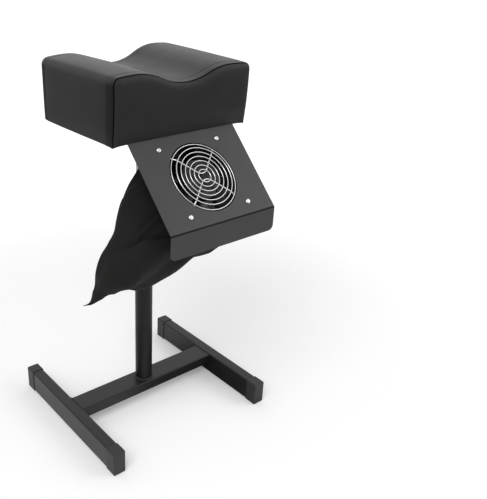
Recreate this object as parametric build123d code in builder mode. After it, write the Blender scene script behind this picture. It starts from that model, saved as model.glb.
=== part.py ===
"""Pedicure footrest: a padded, height-adjustable rest on an H-shaped tube base.

A tilted sheet-metal panel under the front of the cushion carries a fan, which
blows into a cloth dust bag behind it. Units are millimetres and +Z is up. The
fan faces -Y, the two floor rails run along Y and the cross beam runs along X.
The origin lies on the floor, at the middle of the space that the object fills.
"""
import os
from math import cos, pi, radians, sin, sqrt, tan

from build123d import *

os.makedirs("parts", exist_ok=True)

# General clearances
overrun = 5.0
running_gap = 0.05
seat_gap = 0.1
soft_gap = 0.3
weld_leg = 2.5
weld_slope_share = 0.8

# Floor rails, their end caps and the cross beam
rail_width = 20.0
rail_height = 40.0
rail_wall = 1.5
rail_corner = 2.5
rail_spacing = 302.0
base_length = 290.0
cap_wall = 1.0
cap_end = 3.0
cap_length = 21.5
cap_edge = 1.6
beam_width = 40.0
beam_height = 20.0
beam_drop = 1.0

# Telescopic post
outer_post_radius = 15.0
outer_post_wall = 1.5
outer_post_top = 362.0
inner_post_radius = 12.5
inner_post_wall = 1.2
inner_post_length = 279.0
foot_plug_flange = 4.0
foot_plug_spigot = 16.0

# Collar at the top of the outer post
collar_sleeve = 34.0
collar_rim_radius = 16.6
collar_rim_height = 3.0
collar_ear_rise = 7.0
collar_ear_reach = 18.6
collar_ear_wall = 2.2
collar_ear_width = 12.0

# Clamp: welded nut, screw, nylon pad and round knob
clamp_drop = 21.0
nut_across = 13.0
nut_length = 7.0
clamp_screw_radius = 4.0
clamp_hole_gap = 0.5
clamp_pad_radius = 3.5
clamp_pad_length = 3.0
knob_radius = 19.5
knob_thickness = 12.0
knob_reach = 33.5
knob_socket = 9.0
knob_edge = 2.5
flute_radius = 2.6
flute_depth = 1.0
flute_count = 18

# Cushion: plywood board, foam block and sewn cover
cushion_bottom = 511.0
cushion_width = 236.0
cushion_depth = 188.0
hump_height = 91.5
valley_depth = 19.0
hump_spacing = 176.0
valley_radius = 105.0
side_flare = 4.0
side_swell = 1.5
shoulder_radius = 10.0
upright_radius = 4.0
crown_angle = 2.5
cover_thickness = 1.2
hem_width = 18.0
board_thickness = 12.0
board_corner = 4.0

# Mounting plate under the board
plate_gap = 7.0
plate_thickness = 3.0
plate_corner = 8.0
plate_screw_inset = 12.0
wood_screw_radius = 2.0
wood_screw_depth = 10.0
wood_head_radius = 4.0
wood_head_height = 2.4
recess_length = 4.0
recess_width = 0.9
recess_depth = 1.2

# Fan panel: bent sheet with a flange, a slope and a front lip
panel_width = 190.0
panel_sheet = 1.5
panel_tilt = 46.0
panel_slope = 142.0
panel_flange = 32.0
panel_bend = 2.5
lip_height = 36.0
lip_corner = 8.0
panel_screw_spacing = 70.0
panel_screw_inset = 17.0

# Axial fan
fan_size = 120.0
fan_thickness = 38.0
fan_hole_radius = 54.0
fan_hole_spacing = 105.0
fan_flange = 4.0
fan_flange_corner = 4.0
duct_radius = 56.5
duct_wall = 2.0
boss_radius = 4.6
hub_radius = 31.0
hub_wall = 2.5
hub_edge = 2.0
hub_setback = 2.5
hub_length = 28.0
blade_count = 7
blade_thickness = 2.0
blade_camber = 3.0
blade_root_chord = 27.0
blade_tip_chord = 36.0
blade_root_pitch = 48.0
blade_tip_pitch = 27.0
blade_tip_gap = 1.2
strut_width = 5.0
strut_count = 4
motor_plate = 4.0
cage_wall = 2.5
air_gap = 0.5
core_length = 14.0
core_shoe = 3.5
core_pole_width = 9.0
pole_count = 4
coil_wall = 2.0
bearing_radius = 4.0
bearing_length = 4.0
bearing_tube_wall = 1.5
shaft_radius = 1.5
terminal_width = 21.0
terminal_offset = 25.5
terminal_depth = 8.0

# Fan screws and nuts
fan_screw_radius = 2.0
fan_screw_gap = 0.25
fan_head_radius = 4.0
fan_head_height = 2.4
fan_head_share = 0.9
fan_nut_across = 7.0
fan_nut_height = 3.2
screw_tail = 0.8

# Wire finger guard
ring_count = 7
ring_wire_radius = 0.8
spoke_wire_radius = 1.1
first_ring_radius = 9.8
ring_pitch = 6.95
spoke_weld_sink = 0.3
spoke_rise = 3.2
spoke_rise_start = 52.5
spoke_rise_end = 45.5
spoke_bend = 3.0
spoke_turn = 12.0
eye_radius = 3.4

# Dust bag and its elastic hem
hem_thickness = 2.0
hem_length = 12.0
hem_corner = 9.0
bag_drop = 150.0
bag_sway = 58.0
bag_draw = 16.0
bag_width = 200.0
bag_tip_roll = 6.0
bag_fold = 4.5
bag_fold_count = 2.5
bag_arc_count = 16
bag_squareness_share = 0.7

# Levels and reaches that follow from the sizes above
cap_width = rail_width + 2 * cap_wall
cap_height = rail_height + 2 * cap_wall
rail_length = base_length - 2 * cap_end
beam_length = rail_spacing - rail_width
beam_top = cap_wall + rail_height - beam_drop
board_bottom = cushion_bottom + cover_thickness
board_top = board_bottom + board_thickness
plate_bottom = board_bottom - plate_thickness
plate_width = cushion_depth - 2 * (panel_flange + plate_gap)
plate_screw_spacing = plate_width - 2 * plate_screw_inset
outer_post_bore = outer_post_radius - outer_post_wall
inner_post_bore = inner_post_radius - inner_post_wall
inner_post_foot = plate_bottom - inner_post_length
clamp_height = outer_post_top - clamp_drop
panel_top_reach = cushion_depth / 2
panel_reach = panel_top_reach + panel_slope * cos(radians(panel_tilt))
post_y = (panel_reach - base_length / 2) / 2
panel_normal = Vector(0, -sin(radians(panel_tilt)), cos(radians(panel_tilt)))
up_slope = Vector(0, cos(radians(panel_tilt)), sin(radians(panel_tilt)))
panel_edge = Vector(0, post_y - panel_top_reach, cushion_bottom)
fan_centre = panel_edge - up_slope * (panel_slope / 2)
fan_front = panel_sheet + 2 * spoke_wire_radius
fan_back = fan_front + fan_thickness
hub_front = fan_front + hub_setback
screw_end = fan_back + fan_nut_height + screw_tail
bag_mouth = screw_end + soft_gap
duct_outer_radius = duct_radius + duct_wall


def level(height):
    """Horizontal plane at a height, on the post's axis."""
    return Plane(origin=(0, post_y, height))


def clamp_plane(reach):
    """Plane that faces the front, on the clamp's axis, at a distance from the post's axis."""
    return Plane(origin=(0, post_y - reach, clamp_height), x_dir=(1, 0, 0), z_dir=(0, -1, 0))


def fan_plane(depth):
    """Plane parallel to the panel, on the fan's axis, at a depth below its outer face."""
    return Plane(origin=fan_centre - panel_normal * depth, x_dir=(1, 0, 0), z_dir=panel_normal)


def finish(piece, name):
    """Label a finished piece and write its file."""
    piece.part.label = name
    export_step(piece.part, f"parts/{name}.step")


# Floor rails: rectangular tube on edge, held just off the floor by the caps
for side, rail_name in ((-1, "side_bar_left"), (1, "side_bar_right")):
    rail_plane = Plane(
        origin=(side * rail_spacing / 2, post_y, cap_wall + rail_height / 2),
        x_dir=(1, 0, 0),
        z_dir=(0, -1, 0),
    )
    with BuildPart() as side_bar:
        with BuildSketch(rail_plane):
            RectangleRounded(rail_width, rail_height, rail_corner)
            offset(amount=-rail_wall, mode=Mode.SUBTRACT)
        extrude(amount=rail_length / 2, both=True)
    finish(side_bar, rail_name)

    # Plastic cap pushed over each end of the rail
    for end, end_name in ((-1, "front"), (1, "rear")):
        cap_plane = Plane(
            origin=(side * rail_spacing / 2, post_y + end * base_length / 2, cap_height / 2),
            x_dir=(1, 0, 0),
            z_dir=(0, -end, 0),
        )
        with BuildPart() as end_cap:
            with BuildSketch(cap_plane):
                RectangleRounded(cap_width, cap_height, rail_corner)
            extrude(amount=cap_length)
            outer_end = end_cap.faces().sort_by(Axis.Y)[0 if end < 0 else -1]
            fillet(outer_end.edges(), radius=cap_edge)
            with BuildSketch(cap_plane.offset(cap_end)):
                RectangleRounded(rail_width + 2 * seat_gap, rail_height + 2 * seat_gap, rail_corner)
            extrude(amount=cap_length, mode=Mode.SUBTRACT)
        finish(end_cap, f"end_cap_{rail_name.split('_')[-1]}_{end_name}")

# Cross beam: rectangular tube laid flat between the rails
beam_plane = Plane(
    origin=(0, post_y, beam_top - beam_height / 2), x_dir=(0, 1, 0), z_dir=(1, 0, 0)
)
with BuildPart() as cross_beam:
    with BuildSketch(beam_plane):
        RectangleRounded(beam_width, beam_height, rail_corner)
        offset(amount=-rail_wall, mode=Mode.SUBTRACT)
    extrude(amount=beam_length / 2, both=True)
finish(cross_beam, "cross_beam")

# Weld bead round each end of the beam, as wide as the beam's drop below the rail
with BuildPart() as beam_weld_beads:
    for side in (-1, 1):
        with BuildSketch(beam_plane.offset(side * beam_length / 2)):
            RectangleRounded(beam_width, beam_height, rail_corner)
            offset(amount=beam_drop)
            RectangleRounded(beam_width, beam_height, rail_corner, mode=Mode.SUBTRACT)
        extrude(amount=-side * beam_drop)
finish(beam_weld_beads, "beam_weld_beads")

# Outer post: round tube welded upright on the beam, with a hole for the clamp
with BuildPart() as outer_post:
    with BuildSketch(level(beam_top)):
        Circle(outer_post_radius)
        Circle(outer_post_bore, mode=Mode.SUBTRACT)
    extrude(amount=outer_post_top - beam_top)
    with BuildSketch(clamp_plane(0)):
        Circle(clamp_screw_radius + clamp_hole_gap)
    extrude(amount=outer_post_radius + overrun, mode=Mode.SUBTRACT)
finish(outer_post, "outer_post")

with BuildPart() as post_weld_bead:
    with BuildSketch(level(beam_top)):
        Circle(outer_post_radius + weld_leg)
    extrude(amount=weld_leg)
    chamfer(post_weld_bead.faces().sort_by(Axis.Z)[-1].edges(), length=weld_leg * weld_slope_share)
    with BuildSketch(level(beam_top)):
        Circle(outer_post_radius)
    extrude(amount=weld_leg, mode=Mode.SUBTRACT)
finish(post_weld_bead, "post_weld_bead")

# Collar: plastic bush inside the outer post, with a rim and two flared ears
with BuildPart() as post_collar:
    with BuildSketch(level(outer_post_top - collar_sleeve)):
        Circle(outer_post_bore - running_gap)
    extrude(amount=collar_sleeve)
    with BuildSketch(level(outer_post_top)):
        Circle(collar_rim_radius)
    extrude(amount=collar_rim_height)
    for side in (-1, 1):
        ear_origin = (0, post_y, outer_post_top)
        with BuildSketch(Plane(origin=ear_origin, x_dir=(0, side, 0), z_dir=(side, 0, 0))):
            with BuildLine():
                Polyline(
                    (collar_rim_radius - collar_ear_wall, 0),
                    (collar_rim_radius, 0),
                    (collar_rim_radius, collar_rim_height),
                    (collar_ear_reach, collar_ear_rise),
                    (collar_ear_reach - collar_ear_wall, collar_ear_rise),
                    (collar_rim_radius - collar_ear_wall, collar_rim_height),
                    close=True,
                )
            make_face()
        extrude(amount=collar_ear_width / 2, both=True)
    with BuildSketch(level(outer_post_top - collar_sleeve)):
        Circle(inner_post_radius + running_gap)
    extrude(amount=collar_sleeve + collar_ear_rise, mode=Mode.SUBTRACT)
    with BuildSketch(clamp_plane(0)):
        Circle(clamp_screw_radius + clamp_hole_gap)
    extrude(amount=outer_post_radius, mode=Mode.SUBTRACT)
finish(post_collar, "post_collar")

# Nut welded on the front of the outer post
with BuildPart() as clamp_nut:
    with BuildSketch(clamp_plane(0)):
        RegularPolygon(nut_across / 2, 6, major_radius=False)
    extrude(amount=outer_post_radius + nut_length)
    with BuildSketch(level(clamp_height)):
        Circle(outer_post_radius)
    extrude(amount=nut_across, both=True, mode=Mode.SUBTRACT)
    with BuildSketch(clamp_plane(0)):
        Circle(clamp_screw_radius + running_gap)
    extrude(amount=outer_post_radius + nut_length + overrun, mode=Mode.SUBTRACT)
finish(clamp_nut, "clamp_nut")

# Clamp pad, screw and knob, in line from the inner post outwards
pad_reach = inner_post_radius + soft_gap
screw_reach = pad_reach + clamp_pad_length + seat_gap
with BuildPart() as clamp_pad:
    with BuildSketch(clamp_plane(pad_reach)):
        Circle(clamp_pad_radius)
    extrude(amount=clamp_pad_length)
finish(clamp_pad, "clamp_pad")

with BuildPart() as clamp_screw:
    with BuildSketch(clamp_plane(screw_reach)):
        Circle(clamp_screw_radius)
    extrude(amount=knob_reach + knob_socket - screw_reach)
finish(clamp_screw, "clamp_screw")

with BuildPart() as clamp_knob:
    with BuildSketch(clamp_plane(knob_reach)):
        Circle(knob_radius)
    extrude(amount=knob_thickness)
    fillet(clamp_knob.edges().filter_by(GeomType.CIRCLE), radius=knob_edge)
    with BuildSketch(clamp_plane(knob_reach)):
        with PolarLocations(knob_radius + flute_radius - flute_depth, flute_count):
            Circle(flute_radius)
    extrude(amount=knob_thickness, mode=Mode.SUBTRACT)
    with BuildSketch(clamp_plane(knob_reach)):
        Circle(clamp_screw_radius)
    extrude(amount=knob_socket, mode=Mode.SUBTRACT)
finish(clamp_knob, "clamp_knob")

# Plug in the foot of the inner post, running in the outer post's bore
with BuildPart() as post_foot_plug:
    with BuildSketch(level(inner_post_foot - seat_gap)):
        Circle(outer_post_bore - running_gap)
    extrude(amount=-foot_plug_flange)
    with BuildSketch(level(inner_post_foot - seat_gap)):
        Circle(inner_post_bore - running_gap)
    extrude(amount=foot_plug_spigot)
finish(post_foot_plug, "post_foot_plug")

# Inner post: chromed tube up to the mounting plate
with BuildPart() as inner_post:
    with BuildSketch(level(inner_post_foot)):
        Circle(inner_post_radius)
        Circle(inner_post_bore, mode=Mode.SUBTRACT)
    extrude(amount=inner_post_length)
finish(inner_post, "inner_post")

with BuildPart() as plate_weld_bead:
    with BuildSketch(level(plate_bottom)):
        Circle(inner_post_radius + weld_leg)
    extrude(amount=-weld_leg)
    chamfer(plate_weld_bead.faces().sort_by(Axis.Z)[0].edges(), length=weld_leg * weld_slope_share)
    with BuildSketch(level(plate_bottom)):
        Circle(inner_post_radius)
    extrude(amount=-weld_leg, mode=Mode.SUBTRACT)
finish(plate_weld_bead, "plate_weld_bead")

plate_screw_places = GridLocations(plate_screw_spacing, plate_screw_spacing, 2, 2)
with BuildPart() as top_plate:
    with BuildSketch(level(plate_bottom)):
        RectangleRounded(plate_width, plate_width, plate_corner)
        with plate_screw_places:
            Circle(wood_screw_radius + seat_gap, mode=Mode.SUBTRACT)
    extrude(amount=plate_thickness)
finish(top_plate, "top_plate")

# Places of the wood screws that go up into the board, from the post's axis
panel_screw_y = -panel_top_reach + panel_screw_inset
panel_screw_places = Locations(*((side * panel_screw_spacing, panel_screw_y) for side in (-1, 0, 1)))
flange_bottom = cushion_bottom - panel_sheet
panel_screw_depth = board_bottom - flange_bottom + wood_screw_depth


def cross_recess():
    """Cross outline of a screwdriver recess, for the sketch that it is called in."""
    Rectangle(recess_length, recess_width)
    Rectangle(recess_width, recess_length)


def wood_screws(seat, places, depth):
    """Pan-head screws driven upwards into the board, heads below the seat."""
    with BuildPart() as screws:
        with BuildSketch(level(seat)):
            with places:
                Circle(wood_head_radius)
        extrude(amount=-wood_head_height)
        fillet(screws.faces().group_by(Axis.Z)[0].edges(), radius=wood_head_height / 2)
        with BuildSketch(level(seat - wood_head_height)):
            with places:
                cross_recess()
        extrude(amount=recess_depth, mode=Mode.SUBTRACT)
        with BuildSketch(level(seat)):
            with places:
                Circle(wood_screw_radius)
        extrude(amount=depth)
    return screws


plate_screws = wood_screws(plate_bottom, plate_screw_places, plate_thickness + wood_screw_depth)
finish(plate_screws, "plate_screws")
panel_screws = wood_screws(flange_bottom, panel_screw_places, panel_screw_depth)
finish(panel_screws, "panel_screws")

# Board under the foam, with pilot holes for both kinds of screw
board_width = cushion_width - 2 * (cover_thickness + seat_gap)
board_depth = cushion_depth - 2 * (cover_thickness + seat_gap)
with BuildPart() as base_board:
    with BuildSketch(level(board_bottom)):
        RectangleRounded(board_width, board_depth, board_corner)
    extrude(amount=board_thickness)
    with BuildSketch(level(board_bottom)):
        with plate_screw_places:
            Circle(wood_screw_radius + running_gap)
        with panel_screw_places:
            Circle(wood_screw_radius + running_gap)
    extrude(amount=wood_screw_depth + seat_gap, mode=Mode.SUBTRACT)
finish(base_board, "base_board")


def cushion_form(inset, floor):
    """The cushion's outer form above a floor, drawn in all round by an inset.

    Its end profile is two humps and a valley, swung through a small angle about
    an axis far below, which crowns the top and leans the front and rear outwards.
    """
    swing_radius = cushion_depth / 2 / tan(radians(crown_angle))
    swing_angle = crown_angle - inset / swing_radius * 180 / pi
    arc_sum = ((hump_spacing / 2) ** 2 + valley_depth**2) / (2 * valley_depth)
    hump_radius = arc_sum - valley_radius
    turn_x = hump_spacing / 2 * valley_radius / arc_sum
    valley_z = hump_height - valley_depth
    turn_z = valley_z + valley_radius - sqrt(valley_radius**2 - turn_x**2)
    shoulder_x = cushion_width / 2 + side_flare
    shoulder_run = shoulder_x - hump_spacing / 2
    shoulder_z = hump_height - hump_radius + sqrt(hump_radius**2 - shoulder_run**2)
    waist_x = cushion_width / 2 + side_flare / 2 + side_swell
    lower_x = cushion_width / 2 - side_swell
    lower_z = -shoulder_radius
    start = Plane(
        origin=(
            0,
            post_y - swing_radius * sin(radians(swing_angle)),
            cushion_bottom - swing_radius + swing_radius * cos(radians(swing_angle)),
        ),
        x_dir=(1, 0, 0),
        z_dir=(0, -cos(radians(swing_angle)), -sin(radians(swing_angle))),
    )
    swing = Axis((0, post_y, cushion_bottom - swing_radius), (-1, 0, 0))
    with BuildPart() as form:
        with BuildSketch(start) as profile:
            with BuildLine():
                ThreePointArc((-turn_x, turn_z), (0, valley_z), (turn_x, turn_z))
                for side in (-1, 1):
                    ThreePointArc(
                        (side * turn_x, turn_z),
                        (side * hump_spacing / 2, hump_height),
                        (side * shoulder_x, shoulder_z),
                    )
                    ThreePointArc(
                        (side * shoulder_x, shoulder_z),
                        (side * waist_x, shoulder_z / 2),
                        (side * lower_x, lower_z),
                    )
                Line((-lower_x, lower_z), (lower_x, lower_z))
            make_face()
            shoulders = profile.vertices().filter_by(lambda v: abs(v.X) > shoulder_x - seat_gap)
            fillet(shoulders, radius=shoulder_radius)
            if inset:
                offset(amount=-inset, mode=Mode.REPLACE)
        revolve(axis=swing, revolution_arc=2 * swing_angle)
        split(bisect_by=Plane.XY.offset(floor), keep=Keep.TOP)
        ends = form.faces().sort_by(Axis.Y)
        rims = ShapeList(ends[0].edges() + ends[-1].edges())
        fillet(rims.filter_by(lambda e: e.center().Z > floor + seat_gap), radius=upright_radius - inset)
    return form


# Sewn cover: open below, with a hem turned under the board
with BuildPart() as cushion_cover:
    add(cushion_form(0, cushion_bottom).part)
    add(cushion_form(cover_thickness, board_bottom).part, mode=Mode.SUBTRACT)
    with BuildSketch(level(cushion_bottom)):
        Rectangle(cushion_width - 2 * hem_width, cushion_depth - 2 * hem_width)
    extrude(amount=cover_thickness, mode=Mode.SUBTRACT)
    with BuildSketch(level(cushion_bottom)):
        with panel_screw_places:
            Circle(wood_screw_radius + running_gap)
    extrude(amount=cover_thickness, mode=Mode.SUBTRACT)
finish(cushion_cover, "cushion_cover")

cushion_foam = cushion_form(cover_thickness + seat_gap, board_top)
finish(cushion_foam, "cushion_foam")

# Fan panel: one bent sheet, screwed under the board behind the front edge
fan_bolts = GridLocations(fan_hole_spacing, fan_hole_spacing, 2, 2)
side_plane = Plane(origin=(0, post_y, cushion_bottom), x_dir=(0, -1, 0), z_dir=(-1, 0, 0))
slope_drop = panel_slope * sin(radians(panel_tilt))
with BuildPart() as fan_panel:
    with BuildSketch(side_plane):
        with BuildLine():
            FilletPolyline(
                (panel_top_reach - panel_flange, 0),
                (panel_top_reach, 0),
                (panel_reach, -slope_drop),
                (panel_reach, -slope_drop - lip_height),
                radius=panel_bend,
            )
            offset(amount=panel_sheet, side=Side.RIGHT)
        make_face()
    extrude(amount=panel_width / 2, both=True)
    fillet(fan_panel.edges().filter_by(Axis.Y).group_by(Axis.Z)[0], radius=lip_corner)
    with BuildSketch(fan_plane(0)):
        Circle(fan_hole_radius)
        with fan_bolts:
            Circle(fan_screw_radius + fan_screw_gap)
    extrude(amount=-panel_sheet - overrun, mode=Mode.SUBTRACT)
    with BuildSketch(level(flange_bottom)):
        with panel_screw_places:
            Circle(wood_screw_radius + seat_gap)
    extrude(amount=panel_sheet, mode=Mode.SUBTRACT)
finish(fan_panel, "fan_panel")

# Fan frame: two square flanges, a round duct, screw bosses and the motor's plate and tube
tube_radius = bearing_radius + bearing_tube_wall
tube_top = hub_front + hub_wall + hub_setback
tube_length = fan_back - tube_top
with BuildPart() as fan_frame:
    for depth, thickness in ((fan_front, -fan_flange), (fan_back, fan_flange)):
        with BuildSketch(fan_plane(depth)):
            RectangleRounded(fan_size, fan_size, fan_flange_corner)
        extrude(amount=thickness)
    with BuildSketch(fan_plane(fan_front)):
        Circle(duct_outer_radius)
        with fan_bolts:
            Circle(boss_radius)
    extrude(amount=-fan_thickness)
    with BuildSketch(fan_plane(fan_front)):
        Circle(duct_radius)
        with fan_bolts:
            Circle(fan_screw_radius + fan_screw_gap)
    extrude(amount=-fan_thickness, mode=Mode.SUBTRACT)
    with BuildSketch(fan_plane(fan_back)):
        Circle(hub_radius)
        with PolarLocations((hub_radius + duct_radius) / 2, strut_count, start_angle=180 / strut_count):
            Rectangle(duct_radius - hub_radius + strut_width, strut_width)
    extrude(amount=motor_plate)
    with BuildSketch(fan_plane(fan_back)):
        Circle(tube_radius)
    extrude(amount=tube_length)
    with BuildSketch(fan_plane(tube_top)):
        Circle(bearing_radius + running_gap)
    extrude(amount=motor_plate - tube_length, mode=Mode.SUBTRACT)
finish(fan_frame, "fan_frame")

# Terminal cover between the flanges, on the fan's right-hand side
with BuildPart() as terminal_cover:
    with BuildSketch(fan_plane(fan_front + fan_flange + seat_gap)):
        with Locations((fan_size / 2 - terminal_depth / 2 - seat_gap, -terminal_offset)):
            Rectangle(terminal_depth, terminal_width)
        Circle(duct_outer_radius + seat_gap, mode=Mode.SUBTRACT)
    extrude(amount=-fan_thickness + 2 * (fan_flange + seat_gap))
finish(terminal_cover, "terminal_cover")

# Ball bearings at both ends of the motor's tube
with BuildPart() as fan_bearings:
    for depth in (tube_top, fan_back - motor_plate - bearing_length):
        with BuildSketch(fan_plane(depth)):
            Circle(bearing_radius)
            Circle(shaft_radius + running_gap, mode=Mode.SUBTRACT)
        extrude(amount=-bearing_length)
finish(fan_bearings, "fan_bearings")

# Motor core: a yoke on the tube, with pole arms and their shoes
cage_radius = hub_radius - hub_wall - running_gap
core_radius = cage_radius - cage_wall - air_gap
core_front = tube_top + bearing_length
yoke_radius = tube_radius + core_shoe
with BuildPart() as stator_core:
    with BuildSketch(fan_plane(core_front)):
        Circle(core_radius)
        Circle(core_radius - core_shoe, mode=Mode.SUBTRACT)
        with PolarLocations(core_radius, pole_count, start_angle=180 / pole_count):
            Rectangle(2 * core_radius, core_pole_width, mode=Mode.SUBTRACT)
        with PolarLocations(core_radius / 2, pole_count):
            Rectangle(core_radius - core_shoe / 2, core_pole_width)
        Circle(yoke_radius)
        Circle(tube_radius + running_gap, mode=Mode.SUBTRACT)
    extrude(amount=-core_length)
finish(stator_core, "stator_core")

coil_length = core_radius - core_shoe - yoke_radius - coil_wall
core_centre = fan_centre - panel_normal * (core_front + core_length / 2)
with BuildPart() as stator_coils:
    for direction in (Vector(1, 0, 0), up_slope, Vector(-1, 0, 0), -up_slope):
        pole_plane = Plane(origin=core_centre, x_dir=panel_normal, z_dir=direction)
        with BuildSketch(pole_plane.offset(yoke_radius + coil_wall / 2)):
            Rectangle(core_length + 2 * coil_wall, core_pole_width + 2 * coil_wall)
            Rectangle(core_length + seat_gap, core_pole_width + seat_gap, mode=Mode.SUBTRACT)
        extrude(amount=coil_length)
finish(stator_coils, "stator_coils")

# Rotor: hub cup with twisted blades, its cage ring and its shaft
blade_reach = duct_radius - blade_tip_gap
blade_middle = hub_front + hub_length / 2


def blade_section(radius, chord, pitch):
    """Cambered blade outline on a plane across a radius, turned by the pitch."""
    section_plane = Plane(
        origin=(radius, 0, 0),
        x_dir=(0, cos(radians(pitch)), sin(radians(pitch))),
        z_dir=(1, 0, 0),
    )
    half = chord / 2
    with BuildSketch(section_plane) as section:
        with BuildLine():
            ThreePointArc((-half, 0), (0, blade_camber), (half, 0))
            Line((half, 0), (half, -blade_thickness))
            ThreePointArc(
                (half, -blade_thickness),
                (0, blade_camber - blade_thickness),
                (-half, -blade_thickness),
            )
            Line((-half, -blade_thickness), (-half, 0))
        make_face()
    return section.sketch


with BuildPart() as blade:
    loft([
        blade_section(hub_radius - hub_wall / 2, blade_root_chord, blade_root_pitch),
        blade_section(blade_reach, blade_tip_chord, blade_tip_pitch),
    ])

with BuildPart(fan_plane(blade_middle)) as fan_rotor:
    with PolarLocations(0, blade_count):
        add(blade.part)
    with BuildSketch(fan_plane(blade_middle)):
        Circle(blade_reach)
    extrude(amount=hub_length, both=True, mode=Mode.INTERSECT)
    with BuildSketch(fan_plane(hub_front)):
        Circle(hub_radius)
    extrude(amount=-hub_length)
    with BuildSketch(fan_plane(hub_front + hub_wall)):
        Circle(hub_radius - hub_wall)
    extrude(amount=-hub_length, mode=Mode.SUBTRACT)
    with BuildSketch(fan_plane(hub_front + hub_wall)):
        Circle(shaft_radius)
    extrude(amount=hub_wall / 2, mode=Mode.SUBTRACT)
    round_edges = fan_rotor.edges().filter_by(GeomType.CIRCLE)
    fillet(round_edges.sort_by(Axis(fan_centre, panel_normal))[-1], radius=hub_edge)
finish(fan_rotor, "fan_rotor")

with BuildPart() as rotor_cage:
    with BuildSketch(fan_plane(core_front)):
        Circle(cage_radius)
        Circle(cage_radius - cage_wall, mode=Mode.SUBTRACT)
    extrude(amount=-core_length)
finish(rotor_cage, "rotor_cage")

with BuildPart() as rotor_shaft:
    with BuildSketch(fan_plane(hub_front + hub_wall / 2)):
        Circle(shaft_radius)
    extrude(amount=hub_front + hub_wall / 2 - fan_back + motor_plate + hub_wall / 2)
finish(rotor_shaft, "rotor_shaft")

# Four long screws through panel, guard eyes and fan, with nuts behind
with BuildPart() as fan_screws:
    with BuildSketch(fan_plane(0)):
        with fan_bolts:
            Circle(fan_head_radius)
    extrude(amount=fan_head_height)
    heads = fan_screws.faces().group_by(Axis(fan_centre, panel_normal))[-1]
    fillet(heads.edges(), radius=fan_head_height * fan_head_share)
    with BuildSketch(fan_plane(-fan_head_height)):
        with fan_bolts:
            cross_recess()
    extrude(amount=-recess_depth, mode=Mode.SUBTRACT)
    with BuildSketch(fan_plane(0)):
        with fan_bolts:
            Circle(fan_screw_radius)
    extrude(amount=-screw_end)
finish(fan_screws, "fan_screws")

with BuildPart() as fan_nuts:
    with BuildSketch(fan_plane(fan_back)):
        with fan_bolts:
            RegularPolygon(fan_nut_across / 2, 6, major_radius=False)
            Circle(fan_screw_radius + running_gap, mode=Mode.SUBTRACT)
    extrude(amount=-fan_nut_height)
finish(fan_nuts, "fan_nuts")

# Finger guard: wire rings welded on two bent spoke wires that end in screw eyes
spoke_level = -panel_sheet - spoke_wire_radius
crest_level = spoke_level + spoke_rise
ring_lift = spoke_wire_radius + ring_wire_radius - spoke_weld_sink
diagonal_share = 1 / sqrt(2)


def spoke_height(radius):
    """Height of a spoke wire's centre above the panel's outer face, at a radius."""
    rise_share = (spoke_rise_start - radius) / (spoke_rise_start - spoke_rise_end)
    return spoke_level + spoke_rise * min(1, max(0, rise_share))


with BuildPart(fan_plane(0)) as finger_guard:
    for turn in range(ring_count):
        ring_radius = first_ring_radius + turn * ring_pitch
        with Locations((0, 0, spoke_height(ring_radius) + ring_lift)):
            Torus(ring_radius, ring_wire_radius)
    with GridLocations(fan_hole_spacing, fan_hole_spacing, 2, 2):
        with Locations((0, 0, spoke_level)):
            Torus(eye_radius, spoke_wire_radius)
    for side in (-1, 1):
        arm = [
            (fan_hole_spacing * diagonal_share - eye_radius, spoke_level),
            (spoke_rise_start, spoke_level),
            (spoke_rise_end, crest_level),
        ]
        left_arm = [(-r * diagonal_share, side * r * diagonal_share, h) for r, h in arm]
        right_arm = [(r * diagonal_share, side * r * diagonal_share, h) for r, h in reversed(arm)]
        with BuildLine(fan_plane(0)) as spoke_path:
            FilletPolyline(
                *left_arm,
                (0, 0, crest_level),
                *right_arm,
                radius=[spoke_bend, spoke_bend, spoke_turn, spoke_bend, spoke_bend],
            )
        with BuildSketch(Plane(origin=spoke_path.line @ 0, z_dir=spoke_path.line % 0)):
            Circle(spoke_wire_radius)
        sweep(path=spoke_path.line)
finish(finger_guard, "finger_guard")

# Elastic hem that holds the bag on the fan's rear flange
hem_size = fan_size + 2 * (soft_gap + hem_thickness)
with BuildPart() as bag_hem:
    with BuildSketch(fan_plane(bag_mouth)):
        RectangleRounded(hem_size, hem_size, hem_corner)
        RectangleRounded(
            fan_size + 2 * soft_gap,
            fan_size + 2 * soft_gap,
            fan_flange_corner,
            mode=Mode.SUBTRACT,
        )
    extrude(amount=hem_length)
finish(bag_hem, "bag_hem")

# Dust bag: square at the mouth, sagging to a flat seam that hangs lower on the left.
# Each row gives shares of the drop, sway and draw, of the lean and roll, of the
# half width (across and front to back) and of the fold depth.
bag_level_shares = (
    (0.00, 0.00, 0.00, 1.00, 0.00, 0.64, 0.62, 0.0),
    (0.10, 0.10, 0.10, 0.86, 0.05, 0.91, 0.58, 0.3),
    (0.30, 0.32, 0.25, 0.62, 0.15, 0.99, 0.46, 0.9),
    (0.53, 0.66, 0.48, 0.38, 0.40, 1.02, 0.32, 1.0),
    (0.77, 0.90, 0.80, 0.15, 0.70, 1.04, 0.17, 0.8),
    (1.00, 1.00, 1.00, 0.00, 1.00, 1.03, 0.05, 0.3),
)
# Points of the bottom seam, as shares of the half width and of the drop
bag_seam_shares = (
    (-1.75, 0.90),
    (-1.58, 0.95),
    (-1.26, 0.89),
    (-0.83, 0.93),
    (-0.46, 0.92),
    (-0.23, 0.88),
    (0.10, 0.80),
    (0.31, 0.75),
    (0.60, 0.70),
)
mouth_centre = fan_centre - panel_normal * bag_mouth
bag_reach = bag_width / 2


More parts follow.
